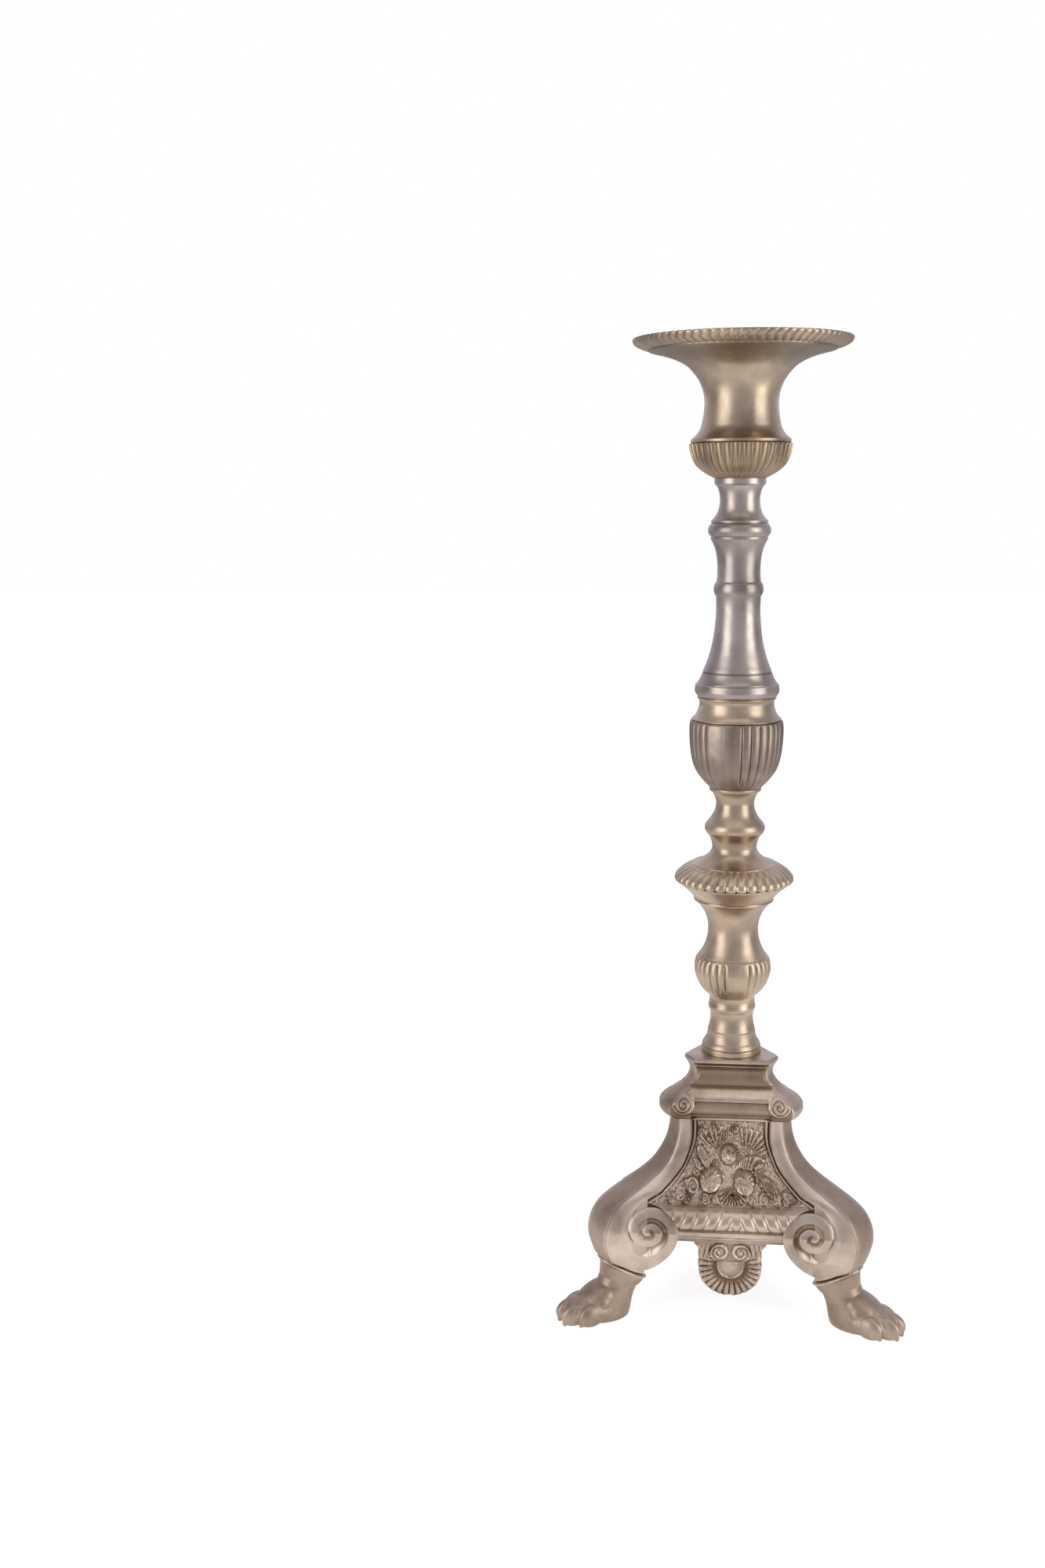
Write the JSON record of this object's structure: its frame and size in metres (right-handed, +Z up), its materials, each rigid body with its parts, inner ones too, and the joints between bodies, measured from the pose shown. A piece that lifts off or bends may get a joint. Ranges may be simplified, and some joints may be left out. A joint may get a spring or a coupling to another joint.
{
  "type": "altar candlestick",
  "caption": "Tall turned brass altar candlestick with a wide drip pan over a pricket bell, fluted knops and a three-sided scroll base on lion paw feet.",
  "frame": {"origin": "centre of the footprint's box on the surface the three feet stand on; the column's axis is 29.5 mm towards -Y from it", "axes": "+Z up along the column, -Y towards the front relief panel, +X to the right seen from the front, third foot at the rear on +Y"},
  "size_m": [0.2236, 0.197, 0.62],
  "materials": {
    "golden_brass": "aged, satin, warm golden brown",
    "grey_brass": "aged, satin, greyer brown",
    "base_brass": "aged cast brass, brown patina in the hollows",
    "steel": "dull machined steel"
  },
  "bodies": {
    "root": {"pricket_spike": "golden_brass", "top_nut": "steel", "top_washer": "steel", "drip_pan_bell": "golden_brass", "top_gadroon_cup": "grey_brass", "upper_stem": "grey_brass", "shoulder_collar": "golden_brass", "fluted_cup": "grey_brass", "knop_stem": "golden_brass", "lower_bell": "golden_brass", "fluted_knop": "golden_brass", "stem_foot": "golden_brass", "tie_rod": "steel", "base_plinth": "base_brass", "clamp_plate": "steel", "bottom_washer": "steel", "bottom_nut": "steel", "front_left_scroll_leg": "base_brass", "front_right_scroll_leg": "base_brass", "rear_scroll_leg": "base_brass", "front_left_paw_foot": "base_brass", "front_right_paw_foot": "base_brass", "rear_paw_foot": "base_brass", "front_left_foot_bolt": "steel", "front_right_foot_bolt": "steel", "rear_foot_bolt": "steel", "front_relief_panel": "base_brass", "rear_right_relief_panel": "base_brass", "rear_left_relief_panel": "base_brass"}
  },
  "joints": []
}
